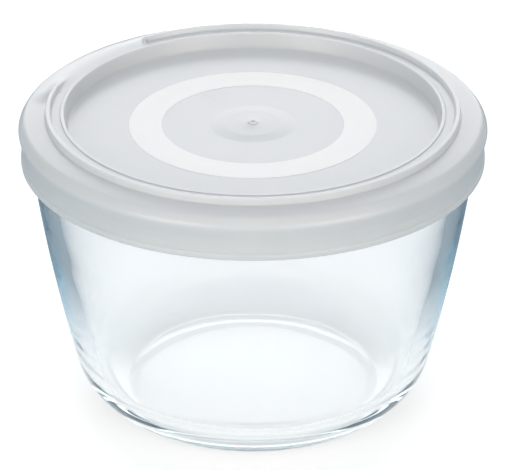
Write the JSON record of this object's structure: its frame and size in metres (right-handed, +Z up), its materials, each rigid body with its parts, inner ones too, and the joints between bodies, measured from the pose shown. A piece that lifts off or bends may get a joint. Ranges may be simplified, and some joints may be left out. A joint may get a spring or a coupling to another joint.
{
  "type": "glass food storage dish with lid",
  "caption": "Round clear glass storage dish with leaning walls, a broad rounded base and a frosted snap-fit plastic lid with a sunk stacking panel.",
  "frame": {"origin": "centre of the foot ring, on the table", "axes": "+Z up the axis of the dish, the blank pad on the lid is to the left and behind, at 146 degrees from +X"},
  "size_m": [0.1244, 0.1244, 0.0842],
  "materials": {
    "clear_glass": "clear pressed glass, polished, with a faint blue tint in the thick edges",
    "frosted_plastic": "frosted translucent soft plastic, satin, with a matt band on the panel"
  },
  "bodies": {
    "dish": {"glass_dish": "clear_glass"},
    "lid": {"snap_lid": "frosted_plastic"}
  },
  "joints": [
    {"name": "lid_lift", "type": "slide", "parent": "dish", "child": "lid", "axis": [0, 0, 1], "range_m": [0, 0.08]}
  ]
}
